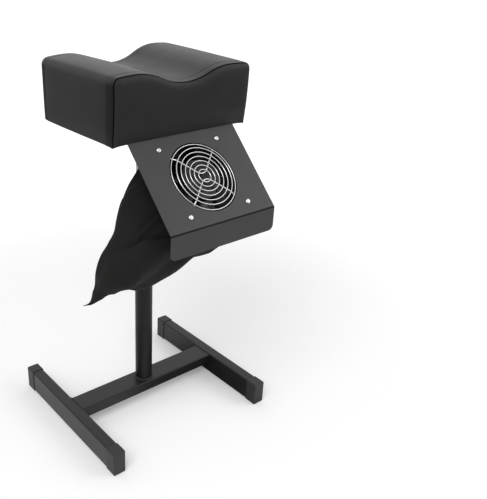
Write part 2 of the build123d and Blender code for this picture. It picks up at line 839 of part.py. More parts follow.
def bag_point(angle, across, deep, fold, squareness):
    """Point of a bag outline: a rounded rectangle whose two faces ripple together."""
    wide = cos(angle)
    high = sin(angle)
    x = across * abs(wide) ** squareness * (1 if wide > 0 else -1)
    y = deep * abs(high) ** squareness * (1 if high > 0 else -1)
    return (x, y + fold * cos(bag_fold_count * pi * x / bag_reach))


with BuildPart() as dust_bag:
    for drop, sway, draw, lean, roll, across, deep, fold in bag_level_shares:
        lean_angle = radians(panel_tilt * lean)
        roll_angle = radians(bag_tip_roll * roll)
        x_dir = Vector(cos(roll_angle), 0, sin(roll_angle))
        y_dir = Vector(0, -cos(lean_angle), -sin(lean_angle))
        outline_plane = Plane(
            origin=mouth_centre + Vector(-bag_sway * sway, bag_draw * draw, -bag_drop * drop),
            x_dir=x_dir,
            z_dir=x_dir.cross(y_dir),
        )
        step = 2 * pi / bag_arc_count
        with BuildSketch(outline_plane):
            with BuildLine():
                for arc in range(bag_arc_count):
                    ThreePointArc(*(
                        bag_point(
                            (arc + share) * step,
                            bag_reach * across,
                            bag_reach * deep,
                            bag_fold * fold,
                            bag_squareness_share,
                        )
                        for share in (0, 0.5, 1)
                    ))
            make_face()
    loft()
    with BuildSketch(Plane(origin=mouth_centre, x_dir=(1, 0, 0), z_dir=(0, -1, 0))):
        with BuildLine():
            seam = Spline(*((bag_reach * x, -bag_drop * drop) for x, drop in bag_seam_shares))
            below = -bag_drop - bag_reach
            Polyline(seam @ 1, ((seam @ 1).X, below), ((seam @ 0).X, below), seam @ 0)
        make_face()
    extrude(amount=bag_reach, both=True, mode=Mode.SUBTRACT)
finish(dust_bag, "dust_bag")
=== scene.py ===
"""Pedicure footrest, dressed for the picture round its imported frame. Units are metres."""
from math import atan2, copysign, cos, exp, hypot, pi, radians, sin, sqrt, tanh

import bmesh
import bpy
from mathutils import Matrix, Vector, noise
from mathutils.kdtree import KDTree


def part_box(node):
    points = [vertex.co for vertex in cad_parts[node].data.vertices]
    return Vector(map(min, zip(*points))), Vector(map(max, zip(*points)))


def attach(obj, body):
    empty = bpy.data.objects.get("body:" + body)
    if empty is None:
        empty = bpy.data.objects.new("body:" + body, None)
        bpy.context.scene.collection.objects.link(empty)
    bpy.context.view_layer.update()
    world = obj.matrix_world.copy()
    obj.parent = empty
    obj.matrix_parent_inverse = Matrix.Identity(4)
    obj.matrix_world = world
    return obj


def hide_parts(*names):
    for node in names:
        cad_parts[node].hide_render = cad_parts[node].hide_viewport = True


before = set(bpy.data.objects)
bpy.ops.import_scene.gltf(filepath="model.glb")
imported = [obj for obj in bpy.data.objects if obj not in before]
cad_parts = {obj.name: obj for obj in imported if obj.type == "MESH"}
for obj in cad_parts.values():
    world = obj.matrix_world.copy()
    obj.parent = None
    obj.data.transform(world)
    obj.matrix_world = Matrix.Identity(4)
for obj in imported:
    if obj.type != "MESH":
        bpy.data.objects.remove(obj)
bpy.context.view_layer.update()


# Studio. A camera stands to the left, a little above the cushion, and looks down
# past the footrest, so its sensor is shifted to the right to bring it into view.
PHOTO_WIDTH, PHOTO_HEIGHT = 487, 499
LENS_AXIS_X, LENS_AXIS_Y = 143.2, 251.3
FOCAL_LENGTH = 661
SENSOR = 36
CAMERA_SPOT = (-0.5854, -0.7841, 0.7579)
CAMERA_PITCH, CAMERA_YAW = 25.14, 35.87
camera_data = bpy.data.cameras.new("photo_camera")
camera_data.sensor_width = SENSOR
camera_data.lens = SENSOR * FOCAL_LENGTH / PHOTO_HEIGHT
camera_data.shift_x = (PHOTO_WIDTH / 2 - LENS_AXIS_X) / PHOTO_HEIGHT
camera_data.shift_y = (LENS_AXIS_Y - PHOTO_HEIGHT / 2) / PHOTO_HEIGHT
camera = bpy.data.objects.new("photo_camera", camera_data)
camera.location = CAMERA_SPOT
camera.rotation_euler = (radians(90 - CAMERA_PITCH), 0, radians(-CAMERA_YAW))
bpy.context.scene.collection.objects.link(camera)
bpy.context.scene.camera = camera
bpy.context.scene.view_settings.view_transform = "Standard"


# Studio world, lamps and floor. World and floor look white to the camera, and the floor
# keeps the soft shadow that the light leaves under the feet. Mirrored in the paint, the
# floor is dim, and in the shade beside the right rail nearly black.
class Wire:
    """A node's output. Arithmetic on it adds Math nodes, so a mask reads as a formula."""

    def __init__(self, finish, socket):
        self.finish = finish
        self.socket = socket

    def math(self, operation, *values):
        return self.finish.node("Math", {"operation": operation}, dict(enumerate(values)))

    def __add__(self, other):
        return self.math("ADD", self, other)

    __radd__ = __add__

    def __sub__(self, other):
        return self.math("SUBTRACT", self, other)

    def __rsub__(self, other):
        return self.math("SUBTRACT", other, self)

    def __mul__(self, other):
        return self.math("MULTIPLY", self, other)

    __rmul__ = __mul__

    def __pow__(self, other):
        return self.math("POWER", self, other)

    def fade(self, low, high):
        """0 at low and below, 1 at high and above, with a soft start and end."""
        settings = {"interpolation_type": "SMOOTHSTEP"}
        return self.finish.node("MapRange", settings, {0: self, 1: low, 2: high})


class Finish:
    """A material whose nodes are added one by one in front of its Principled shader."""

    def __init__(self, name, **sockets):
        self.material = bpy.data.materials.new(name)
        self.material.use_nodes = True
        self.tree = self.material.node_tree
        self.shader = self.tree.nodes["Principled BSDF"]
        self.set(**sockets)

    def node(self, kind, settings=None, values=None, out=0):
        """Add a node of a kind; its settings come before its sockets' values or links."""
        item = self.tree.nodes.new("ShaderNode" + kind)
        for name, value in (settings or {}).items():
            setattr(item, name, value)
        for name, value in (values or {}).items():
            self.feed(item.inputs[name], value)
        return Wire(self, item.outputs[out])

    def feed(self, socket, value):
        """Link a wire to a socket, or set a constant on it."""
        if isinstance(value, Wire):
            self.tree.links.new(value.socket, socket)
        else:
            socket.default_value = value

    def set(self, **sockets):
        """Set or link the shader's sockets, named with underscores for spaces."""
        for name, value in sockets.items():
            self.feed(self.shader.inputs[name.replace("_", " ")], value)

    def place(self, axis=None):
        """Object coordinates, or one of them."""
        spot = self.node("TexCoord", out="Object")
        if axis is None:
            return spot
        return self.node("SeparateXYZ", values={0: spot}, out=axis)

    def stretched(self, scale):
        """Object coordinates scaled axis by axis, for a pattern that runs one way."""
        return self.node("Mapping", values={"Vector": self.place(), "Scale": scale})

    def cloud(self, size, detail=2.0, spot=None):
        """Soft noise from 0 to 1 with blots of a size."""
        values = {"Vector": spot or self.place(), "Scale": 1 / size, "Detail": detail}
        return self.node("TexNoise", values=values)

    def cells(self, size):
        """Distance pattern of irregular cells of a size."""
        return self.node("TexVoronoi", values={"Vector": self.place(), "Scale": 1 / size})

    def blend(self, share, first, second):
        """Mix two colours by a share."""
        return self.node("Mix", {"data_type": "RGBA"}, {0: share, 6: first, 7: second}, out=2)

    def mottled(self, share, tone):
        """A grey that wanders from a little darker to a little lighter."""
        return self.blend(share, grey(tone * 0.85), grey(tone * 1.2))

    def cover(self, share, color):
        """Lay a dull colour that mirrors nothing over a share of the surface."""
        dull = self.node("BsdfDiffuse", values={"Color": color})
        bare = Wire(self, self.shader.outputs["BSDF"])
        mixed = self.node("MixShader", values={0: share, 1: bare, 2: dull})
        self.feed(self.tree.nodes["Material Output"].inputs["Surface"], mixed)

    def emboss(self, height, depth):
        """Bump the surface by a height from 0 to 1 over a depth in metres."""
        self.set(Normal=self.node("Bump", values={"Distance": depth, "Height": height}))


def grey(value, warm=0.0):
    """A grey colour, with a touch more red and less blue where it is warm."""
    return (value * (1 + warm), value, value * (1 - warm), 1)


def link(item):
    """Put a new object into the scene and return it."""
    bpy.context.scene.collection.objects.link(item)
    return item


AMBIENT = 0.62
WHITE = (1, 1, 1, 1)
world = bpy.data.worlds.new("studio_world")
bpy.context.scene.world = world
world.use_nodes = True
sky = world.node_tree
sky_paths = sky.nodes.new("ShaderNodeLightPath")
seen = sky_paths.outputs["Is Camera Ray"]
for path in ("Is Glossy Ray", "Is Transmission Ray"):
    either = sky.nodes.new("ShaderNodeMath")
    either.operation = "MAXIMUM"
    sky.links.new(seen, either.inputs[0])
    sky.links.new(sky_paths.outputs[path], either.inputs[1])
    seen = either.outputs[0]
sky_range = sky.nodes.new("ShaderNodeMapRange")
sky_range.inputs["To Min"].default_value = AMBIENT
sky.links.new(seen, sky_range.inputs["Value"])
sky.links.new(sky_range.outputs[0], sky.nodes["Background"].inputs["Strength"])
sky.nodes["Background"].inputs["Color"].default_value = WHITE

for name, spot, aim, size, power in (
    ("key_softbox", (-1.5, -0.9, 2.2), (0, 0, 0.4), 1.6, 25),
    ("fill_softbox", (1.6, -1.4, 1.5), (0, 0, 0.4), 1.4, 9),
    ("back_softbox", (1.1, 1.9, 1.9), (0, 0, 0.5), 1.4, 0.8),
):
    lamp_data = bpy.data.lights.new(name, "AREA")
    lamp_data.shape = "DISK"
    lamp_data.size = size
    lamp_data.energy = power
    lamp = link(bpy.data.objects.new(name, lamp_data))
    lamp.location = spot
    lamp.rotation_euler = (Vector(aim) - Vector(spot)).to_track_quat("-Z", "Y").to_euler()

FLOOR_SIZE = 30
NEAR_GLOW, MIRRORED_GLOW = 0.15, 0.2
SHADE_X, SHADE_Y = 0.105, -0.02
# These are squared distances, from the middle of the floor and of the shade.
NEAR_EDGE, FAR_EDGE = 0.15, 1.8
SHADE_CORE, SHADE_EDGE = 0.001, 0.025
floor_mesh = bmesh.new()
bmesh.ops.create_circle(floor_mesh, cap_ends=True, segments=96, radius=FLOOR_SIZE)
floor_data = bpy.data.meshes.new("studio_floor")
floor_mesh.to_mesh(floor_data)
floor_mesh.free()
floor = link(bpy.data.objects.new("studio_floor", floor_data))
floor_finish = Finish("studio_floor", Roughness=0.9)
floor_x, floor_y = floor_finish.place(0), floor_finish.place(1)
far_share = (floor_x**2 + floor_y**2).fade(NEAR_EDGE, FAR_EDGE)
from_shade = (floor_x - SHADE_X) ** 2 + (floor_y - SHADE_Y) ** 2
watched = floor_finish.node("LightPath", out="Is Camera Ray")
mirrored = floor_finish.node("LightPath", out="Is Glossy Ray")
shade = (1 - from_shade.fade(SHADE_CORE, SHADE_EDGE)) * mirrored
floor_glow = (NEAR_GLOW + far_share * (1 - NEAR_GLOW)) * watched
floor_glow = floor_glow + (mirrored - shade) * MIRRORED_GLOW
floor_color = floor_finish.blend(far_share, grey(0.94), grey(0.3))
floor_finish.set(Specular_IOR_Level=0.0, Emission_Strength=1.0)
floor_finish.set(Base_Color=floor_finish.blend(shade, floor_color, grey(0.12)))
floor_finish.set(Emission_Color=floor_finish.blend(floor_glow, grey(0), WHITE))
floor_data.materials.append(floor_finish.material)


# Floor rails, cross beam and outer post. Rectangular and round steel tube, welded,
# then coated with black powder that melts to a faint orange-peel skin. The upright
# gets a darker, less glossy copy of the coat, which paints shade on it.
def dress(finish, *nodes):
    """Give carried-over nodes their finish in place of the plain one."""
    for node in nodes:
        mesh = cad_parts[node].data
        mesh.materials.clear()
        mesh.materials.append(finish.material)


def powder_coat(name, color, roughness, peel=0.0012, depth=0.00005, mirror=0.3):
    """Baked powder paint: fine pebbled skin, with slightly uneven gloss and tone."""
    finish = Finish(name, Specular_IOR_Level=mirror)
    skin = finish.cloud(peel, 3.0)
    patches = finish.cloud(0.035, 2.0)
    specks = finish.cloud(0.00035, 1.0).fade(0.66, 0.74)
    tone = finish.mottled(patches, color)
    finish.set(Base_Color=finish.blend(specks * 0.35, tone, grey(color * 2.4)))
    finish.set(Roughness=roughness + (patches - 0.5) * 0.12 + specks * 0.1)
    finish.emboss(skin * 0.8 + specks * 0.2, depth)
    return finish


frame_paint = powder_coat("frame_paint", 0.013, 0.36)
dress(frame_paint, "side_bar_left", "side_bar_right", "cross_beam")
# Painted shade: a darker, less glossy copy of the frame's coat for the upright.
post_shaded_paint = powder_coat("post_shaded_paint", 0.01, 0.4, mirror=0.2)
dress(post_shaded_paint, "outer_post")

# Weld beads. A narrow seam runs round each end of the beam, and a wider one with the
# ripples of its weld pool stands round the post's foot; both are under the paint.
bead_paint = powder_coat("bead_paint", 0.02, 0.42)
ripple_place = bead_paint.place(1) + bead_paint.place(2)
ripples = ripple_place.math("SINE", ripple_place * 2400)
bead_paint.emboss(ripples * 0.5 + bead_paint.cloud(0.002) * 0.5, 0.0003)
dress(bead_paint, "beam_weld_beads")


def mesh_piece(name, shape, finish):
    """Turn a finished bmesh into a smooth object of that name and finish."""
    data = bpy.data.meshes.new(name)
    shape.to_mesh(data)
    shape.free()
    for face in data.polygons:
        face.use_smooth = True
    data.materials.append(finish.material)
    return link(bpy.data.objects.new(name, data))


BEAD_STEPS, STEPS_PER_RIPPLE = 8, 8


def weld_ring(name, foot_z, leg, rise, radius, ripple_count):
    """Bead round a tube at the post: a bulging corner, swollen by its weld pool's ripples."""
    bead = bmesh.new()
    corner = [bead.verts.new((radius, 0, foot_z))]
    for step in range(BEAD_STEPS + 1):
        bulge = pi / 2 / BEAD_STEPS * step
        spot = (radius + leg * cos(bulge), 0, foot_z + rise * sin(bulge))
        corner.append(bead.verts.new(spot))
    rim = [bead.edges.new(pair) for pair in zip(corner, corner[1:] + corner[:1])]
    steps = ripple_count * STEPS_PER_RIPPLE
    bmesh.ops.spin(
        bead, geom=corner + rim, axis=(0, 0, 1), angle=2 * pi, steps=steps, use_merge=True
    )
    for vert in bead.verts:
        turn = atan2(vert.co.y, vert.co.x) + 0.05 * noise.noise(vert.co * 90)
        stand = hypot(vert.co.x, vert.co.y) - radius
        stand *= 0.85 + 0.15 * abs(sin(ripple_count / 2 * turn))
        vert.co.xy = vert.co.xy.normalized() * (radius + stand)
    bmesh.ops.recalc_face_normals(bead, faces=bead.faces)
    bmesh.ops.translate(bead, verts=bead.verts, vec=(0, post_y, 0))
    return mesh_piece(name, bead, bead_paint)


post_low, post_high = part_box("outer_post")
post_y = (post_low.y + post_high.y) / 2
POST_RADIUS = (post_high.x - post_low.x) / 2
MM = 0.001
WELD_LEG = 2.5 * MM
POST_RIPPLES, TUBE_RIPPLES = 40, 34
post_bead = weld_ring("post_bead", post_low.z, WELD_LEG, WELD_LEG, POST_RADIUS, POST_RIPPLES)
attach(post_bead, "stand")
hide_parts("post_weld_bead")


# End caps. Moulded in black plastic and pushed over the rails; the mould left a fine
# grain, and the face that meets the floor is scuffed paler.
def moulded_plastic(name, color, roughness, depth=0.00004, scuff_height=None):
    """Injection-moulded plastic with a spark-eroded grain."""
    finish = Finish(name, Specular_IOR_Level=0.25)
    texture = finish.cloud(0.0007, 4.0)
    patches = finish.cloud(0.02, 2.0)
    shade = finish.mottled(patches, color)
    if scuff_height:
        near_floor = 1 - finish.place(2).fade(0, scuff_height)
        rubbed = near_floor * finish.cloud(0.004, 4.0).fade(0.45, 0.7)
        shade = finish.blend(rubbed * 0.5, shade, grey(color * 3))
    finish.set(Base_Color=shade, Roughness=roughness + (texture - 0.5) * 0.15)
    finish.emboss(texture, depth)
    return finish


cap_plastic = moulded_plastic("cap_plastic", 0.032, 0.5, scuff_height=0.003)
for side in ("left", "right"):
    dress(cap_plastic, f"end_cap_{side}_front", f"end_cap_{side}_rear")

# Post collar and foot plug. Smooth black nylon bushes that guide the chromed tube; one
# is pressed into the outer post's top and the other into the tube's foot.
collar_plastic = moulded_plastic("collar_plastic", 0.022, 0.38, depth=0.00002)
dress(collar_plastic, "post_collar", "post_foot_plug")


# Clamp. A zinc-plated nut is welded on the post's front; its screw presses a nylon pad
# on the chromed tube and ends in a fluted knob of glossy black plastic.
def plated_steel(name, color, roughness, brush=(1, 1, 1)):
    """Plated steel with faint drawing lines and a cloudy passivated tone."""
    finish = Finish(name, Metallic=1.0)
    lines = finish.cloud(0.0008, 3.0, finish.stretched(brush))
    bloom = finish.cloud(0.006, 2.0)
    finish.set(Base_Color=finish.blend(bloom, grey(color * 0.85), grey(color * 1.1, 0.02)))
    finish.set(Roughness=roughness + (lines - 0.5) * 0.18)
    finish.emboss(lines, 0.000015)
    return finish


zinc = plated_steel("zinc_plate", 0.55, 0.3, (1, 0.1, 1))
dress(zinc, "clamp_nut", "clamp_screw", "plate_screws", "panel_screws", "fan_nuts")
knob_plastic = moulded_plastic("knob_plastic", 0.02, 0.3, depth=0.00002)
dress(knob_plastic, "clamp_knob")
nylon = moulded_plastic("pad_nylon", 0.62, 0.45)
dress(nylon, "clamp_pad")

# Inner post. Chromed steel tube; the clamp's pad and the collar have left hairlines
# along it.
chrome = Finish("post_chrome", Metallic=1.0, Base_Color=grey(0.82))
hairlines = chrome.cloud(0.0005, 2.0, chrome.stretched((1, 1, 0.02))).fade(0.62, 0.8)
smears = chrome.cloud(0.03, 2.0)
chrome.set(Roughness=0.05 + smears * 0.05 + hairlines * 0.12)
dress(chrome, "inner_post")

# Mounting plate. Black painted steel plate, welded round the chromed tube's top and
# screwed up under the board.
plate_paint = powder_coat("plate_paint", 0.02, 0.45)
dress(plate_paint, "top_plate")
tube_low, tube_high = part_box("inner_post")
plate_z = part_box("top_plate")[0].z
TUBE_RADIUS = (tube_high.x - tube_low.x) / 2
plate_bead = weld_ring("plate_bead", plate_z, WELD_LEG, -WELD_LEG, TUBE_RADIUS, TUBE_RIPPLES)
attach(plate_bead, "head")
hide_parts("plate_weld_bead")

# Base board. Bare poplar plywood that the foam is glued on, sawn with its grain from
# side to side.
PALE_GRAIN, WARM_GRAIN = (0.50, 0.36, 0.20, 1), (0.66, 0.50, 0.31, 1)
DARK_GRAIN = (0.33, 0.21, 0.10, 1)
board = Finish("base_board")
board_spot = board.stretched((0.06, 1, 1))
board_grain = board.cloud(0.0016, 5.0, board_spot)
board_bands = board.cloud(0.012, 2.0, board_spot)
board_pale = board.blend(board_bands, PALE_GRAIN, WARM_GRAIN)
board.set(Base_Color=board.blend(board_grain.fade(0.5, 0.8) * 0.6, board_pale, DARK_GRAIN))
board.set(Roughness=0.62 + board_grain * 0.2)
board.emboss(board_grain, 0.00015)
dress(board, "base_board")

# Cushion. Foam glued on the board under a sewn cover of black vinyl: one strip wraps
# over both sides and the top, and is seamed to a padded front and rear panel. The shape
# is drawn in millimetres; towards the rear the wave rises and shifts a little.
CUSHION_HALF_WIDTH, CUSHION_HALF_DEPTH = 119.2, 94
VALLEY_HEIGHT, HUMP_HEIGHT, HUMP_X = 73.4, 90.9, 82
VALLEY_RADIUS, OUTER_RADIUS = 100, 300
WAVE_DEPTH = HUMP_HEIGHT - VALLEY_HEIGHT
HUMP_RADIUS = (HUMP_X**2 / WAVE_DEPTH + WAVE_DEPTH) / 2 - VALLEY_RADIUS
VALLEY_RISE, HUMP_RISE, RIGHT_RISE, WAVE_SKEW = 1, 4, 2.2, 4
SHOULDER_RADIUS = 9
FRONT_LEAN, LEAN_EASE = 0.12, 0.0007
EDGE_SAG, FRONT_CORNER_SAG, FRONT_SAG_REACH, REAR_SAG_REACH = 1.3, 2.2, 7, 30
PANEL_PUFF, SIDE_PUFF, PUFF_REACH = 4.2, 3, 5
PANEL_FOOT, SIDE_FOOT = 25, 30
SEAM_PINCH = 0.7
CROWDING = 1.335
cushion_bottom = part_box("cushion_cover")[0].z


def wave_height(x):
    """Height of the top line: a hollow arc in the middle, a round hump on each side."""
    run = abs(x)
    if run < HUMP_X * VALLEY_RADIUS / (VALLEY_RADIUS + HUMP_RADIUS):
        return VALLEY_HEIGHT + VALLEY_RADIUS - sqrt(VALLEY_RADIUS**2 - run**2)
    if run > HUMP_X:
        return HUMP_HEIGHT - (run - HUMP_X) ** 2 / 2 / OUTER_RADIUS
    return HUMP_HEIGHT - HUMP_RADIUS + sqrt(HUMP_RADIUS**2 - (run - HUMP_X) ** 2)


def front_lean(z):
    """How far the front panel leans out at a height."""
    return FRONT_LEAN * z - LEAN_EASE * z**2


def crowd(share):
    """Draw evenly spaced lines together towards the ends of -1 to 1."""
    return sin(CROWDING * share) / sin(CROWDING)


ON_FACE = 0.9999


def cushion_point(cube_point):
    """Point of the cover for a point of a cube, with its distances from the seam.

    The first distance is along the wrapped strip, the second across an end panel.
    """
    a, b, c = cube_point
    on_panel = abs(b) > ON_FACE
    x, y = CUSHION_HALF_WIDTH * crowd(a), CUSHION_HALF_DEPTH * crowd(b)
    rear_share = 0.5 + y / 2 / CUSHION_HALF_DEPTH
    across = CUSHION_HALF_WIDTH - abs(x)
    top = wave_height(x - WAVE_SKEW * rear_share)
    hump_share = (top - VALLEY_HEIGHT) / WAVE_DEPTH
    tilt = hump_share * copysign(1, x)
    top += (VALLEY_RISE + HUMP_RISE * hump_share + RIGHT_RISE * tilt) * rear_share - tilt
    sag = EDGE_SAG + FRONT_CORNER_SAG * exp((-CUSHION_HALF_DEPTH - y - across) / FRONT_SAG_REACH)
    sag -= EDGE_SAG * exp((y - CUSHION_HALF_DEPTH) / REAR_SAG_REACH)
    z = (1 + crowd(c)) / 2 * (top + sag) - sag
    below = top - z
    outward = Vector((1, 0)) if across < below else Vector((0, 1))
    into_panel = min(across, below)
    if across < SHOULDER_RADIUS and below < SHOULDER_RADIUS:
        corner = Vector((SHOULDER_RADIUS - across, SHOULDER_RADIUS - below))
        reach = max(corner)
        outward = corner.normalized()
        moved = outward * reach - corner
        x += moved.x if x > 0 else -moved.x
        z += moved.y
        into_panel = SHOULDER_RADIUS - reach
    along_strip = CUSHION_HALF_DEPTH - abs(y)
    y -= front_lean(max(z, 0)) * (1 - rear_share) ** 2
    if on_panel:
        foot = min(1, max(0, z) / PANEL_FOOT)
        y += copysign(PANEL_PUFF * foot * (1 - exp(-into_panel / PUFF_REACH)), y)
    else:
        into_panel = 0
        foot = min(1, 0.5 + max(0, z) / SIDE_FOOT)
        x += copysign(SIDE_PUFF * outward.x * foot * (1 - exp(-along_strip / PUFF_REACH)), x)
    z -= SEAM_PINCH * outward.y * exp(-(along_strip + into_panel) / PUFF_REACH)
    return Vector((x, y, z)), along_strip, into_panel


CLOTH_FRAMES, CLOTH_QUALITY, CLOTH_STIFFNESS = 20, 6, 4
SMOOTHING_STEPS = 12


def inflate(piece, pinned, pressure, reach):
    """Blow a padded cover up by cloth simulation against its pinned points.

    Only pushes outwards are kept, none past the reach, and they are smoothed over the
    neighbouring points. The shape stays when the cloth modifier is taken off.
    """
    pins = piece.vertex_groups.new(name="pinned")
    pins.add(pinned, 1.0, "REPLACE")
    cloth = piece.modifiers.new("cover_cloth", "CLOTH")
    cloth.settings.quality = CLOTH_QUALITY
    cloth.settings.vertex_group_mass = pins.name
    cloth.settings.use_pressure = True
    cloth.settings.uniform_pressure_force = pressure
    cloth.settings.effector_weights.gravity = 0
    cloth.settings.bending_stiffness = CLOTH_STIFFNESS
    cloth.collision_settings.use_collision = False
    for number in range(CLOTH_FRAMES):
        bpy.context.scene.frame_set(number + 1)
    blown = piece.evaluated_get(bpy.context.evaluated_depsgraph_get())
    vertices = piece.data.vertices
    pushes = [
        reach * tanh(max(0, (moved.co - rest.co).dot(rest.normal)) / reach)
        for rest, moved in zip(vertices, blown.to_mesh().vertices)
    ]
    blown.to_mesh_clear()
    for _ in range(SMOOTHING_STEPS):
        means, counts = list(pushes), [1] * len(pushes)
        for edge in piece.data.edges:
            for one, other in (edge.vertices, reversed(edge.vertices)):
                means[one] += pushes[other]
                counts[one] += 1
        pushes = [mean / count for mean, count in zip(means, counts)]
    for index in pinned:
        pushes[index] = 0
    for rest, push in zip(vertices, pushes):
        rest.co += rest.normal * push
    piece.modifiers.remove(cloth)
    piece.vertex_groups.remove(pins)
    bpy.context.scene.frame_set(1)


CUTS_ACROSS, CUTS_DEEP, CUTS_HIGH = 58, 55, 30
cushion = bmesh.new()
bmesh.ops.create_cube(cushion, size=2)
for axis, cuts in enumerate((CUTS_ACROSS, CUTS_DEEP, CUTS_HIGH)):
    lengthwise = [e for e in cushion.edges if abs(e.verts[0].co[axis] - e.verts[1].co[axis]) > 1.9]
    bmesh.ops.subdivide_edges(cushion, edges=lengthwise, cuts=cuts, use_grid_fill=True)
floor_faces = [face for face in cushion.faces if face.calc_center_median().z < -ON_FACE]
bmesh.ops.delete(cushion, geom=floor_faces, context="FACES")
sewn = cushion.verts.layers.int.new("sewn")
SEAM, CREASE, EDGE_BAND = 1, 2, 3
CREASE_NEAR, CREASE_FAR = 11.5, 14
for vert in cushion.verts:
    on_panel = abs(vert.co.y) > ON_FACE
    vert.co, along_strip, into_panel = cushion_point(vert.co)
    if on_panel and into_panel < 0.01:
        vert[sewn] = SEAM
    elif CREASE_NEAR < along_strip < CREASE_FAR:
        vert[sewn] = CREASE
    elif along_strip < CREASE_NEAR and not on_panel:
        vert[sewn] = EDGE_BAND
bmesh.ops.scale(cushion, verts=cushion.verts, vec=(MM, MM, MM))
pinned = [vert.index for vert in cushion.verts if vert[sewn] == SEAM or vert.is_boundary]
vinyl = Finish("cover_vinyl", Specular_IOR_Level=0.158)
cover = mesh_piece("cover", cushion, vinyl)
PADDING_PRESSURE, LARGEST_SWELL = 3.0, 2.2 * MM
inflate(cover, pinned, PADDING_PRESSURE, LARGEST_SWELL)

# Seams and creases of the cover. The vinyl is sewn inwards along the seams and pulled
# down by the top stitching beside them, each a narrow groove. A vertex attribute paints
# shade into the grooves as a dull near-black that mirrors nothing, and paints a little
# shade on the band between the two, which turns from the light.
FURROWS = ((SEAM, 1.3 * MM, 1.9 * MM), (CREASE, 0.9 * MM, 0.6 * MM))
CREASE_PAINTED_SHADE, CREASE_SHADE_TOP_CUT, BAND_PAINTED_SHADE = 0.6, 0.45, 0.28
cushion = bmesh.new()
cushion.from_mesh(cover.data)
cushion.verts.layers.float.new("painted_shade")
stitch_lines = []
for kind, half_width, depth in FURROWS:
    sewn = cushion.verts.layers.int["sewn"]
    line_edges = [e for e in cushion.edges if all(vert[sewn] == kind for vert in e.verts)]
    line_verts = {vert for edge in line_edges for vert in edge.verts}
    line = KDTree(len(line_verts))
    for vert in line_verts:
        line.insert(vert.co, 0)
    line.balance()
    bmesh.ops.bevel(
        cushion,
        geom=line_edges,
        offset=half_width,
        segments=2,
        profile=0.5,
        affect="EDGES",
        material=-1,
    )
    cushion.normal_update()
    painted_shade = cushion.verts.layers.float["painted_shade"]
    sewn = cushion.verts.layers.int["sewn"]
    # Painted shade: full in the seams, less in the creases and least where they face up, a little
    # on the edge band where it faces sideways.
    for vert in cushion.verts:
        facing_up = abs(vert.normal.z)
        if vert[sewn] == EDGE_BAND:
            vert[painted_shade] = max(vert[painted_shade], BAND_PAINTED_SHADE * (1 - facing_up))
        if line.find(vert.co)[2] < 0.6 * half_width:
            darkness = CREASE_PAINTED_SHADE - CREASE_SHADE_TOP_CUT * facing_up
            vert[painted_shade] = 1 if kind == SEAM else darkness
            sink = depth * (1 + 0.4 * noise.noise(vert.co * 120))
            vert.co -= vert.normal * (sink * min(1, 0.4 + max(0, vert.co.z) * 20))
            if kind == CREASE:
                stitch_lines.append((vert.co.copy(), vert.normal.copy()))

# Hem. The cover's lower edge is turned under the board and stapled there, in a flat
# band round a window that leaves the plywood bare. Its rows step inwards by a share of
# the band's width, and each is laid at a height over the cover's lowest line.
HEM_WIDTH = 18
HEM_HALF_SPAN = (118, 94)
HEM_ROWS = ((0.1, None), (0.2, 0.2 * MM), (1.7, 0.9 * MM), (0, 2.2 * MM))
rim = [edge for edge in cushion.edges if edge.is_boundary]
for width_share, height in HEM_ROWS:
    grown = bmesh.ops.extrude_edge_only(cushion, edges=rim)["geom"]
    rim = [item for item in grown if isinstance(item, bmesh.types.BMEdge)]
    inner = [item for item in grown if isinstance(item, bmesh.types.BMVert)]
    shrink = [1 - width_share * HEM_WIDTH / 2 / half_span for half_span in HEM_HALF_SPAN]
    bmesh.ops.scale(cushion, verts=inner, vec=(*shrink, 1))
    for vert in inner:
        if height:
            vert.co.z = height
bmesh.ops.translate(cushion, verts=cushion.verts, vec=(0, post_y, cushion_bottom))
cushion.to_mesh(cover.data)
cushion.free()
for face in cover.data.polygons:
    face.use_smooth = True
smoothing = cover.modifiers.new("smoothing", "SUBSURF")
smoothing.levels = smoothing.render_levels = 1
vinyl_pores = vinyl.cells(0.0011) * 0.7 + vinyl.cloud(0.0022, 3.0) * 0.3
vinyl_wear = vinyl.cloud(0.03, 3.0)
vinyl_painted_shade = vinyl.node("Attribute", {"attribute_name": "painted_shade"}, out="Fac")
vinyl.set(Base_Color=vinyl.blend(vinyl_wear, grey(0.02), grey(0.027)))
vinyl.set(Roughness=0.36 + (vinyl_wear - 0.5) * 0.12 + vinyl_pores * 0.06)
# Painted shade: a dull near-black that mirrors nothing, laid over the seams, creases and edge
# band.
vinyl.cover(vinyl_painted_shade.fade(0.05, 0.6), grey(0.004))
vinyl.emboss(vinyl_pores, 0.00006)
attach(cover, "head")
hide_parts("cushion_cover", "cushion_foam")

# Top stitching. Black polyester thread that holds the cover's lap down, one stitch
# every 4 mm along each crease.
STITCH_PITCH, STITCH_LENGTH, THREAD_RADIUS = 4 * MM, 3.2 * MM, 0.32 * MM
ROUND_HEIGHT = 0.03
stitches = bmesh.new()
for side in (-1, 1):
    run = [point for point in stitch_lines if point[0].y * side > 0]
    run.sort(key=lambda point: atan2(point[0].x, point[0].z - ROUND_HEIGHT))
    gone = 0.0
    for (start, normal), (end, _) in zip(run, run[1:]):
        along = end - start
        ahead = along.normalized()
        while gone < along.length:
            turn = Matrix((ahead, normal.cross(along).normalized(), normal)).transposed()
            spot = Matrix.Translation(start + ahead * gone) @ turn.to_4x4()
            long_way = Matrix.Diagonal((STITCH_LENGTH / 2 / THREAD_RADIUS, 1, 1, 1))
            bmesh.ops.create_uvsphere(
                stitches, u_segments=6, v_segments=6, radius=THREAD_RADIUS, matrix=spot @ long_way
            )
            gone += STITCH_PITCH
        gone -= along.length
bmesh.ops.translate(stitches, verts=stitches.verts, vec=(0, post_y, cushion_bottom))
thread = Finish("thread", Specular_IOR_Level=0.1)
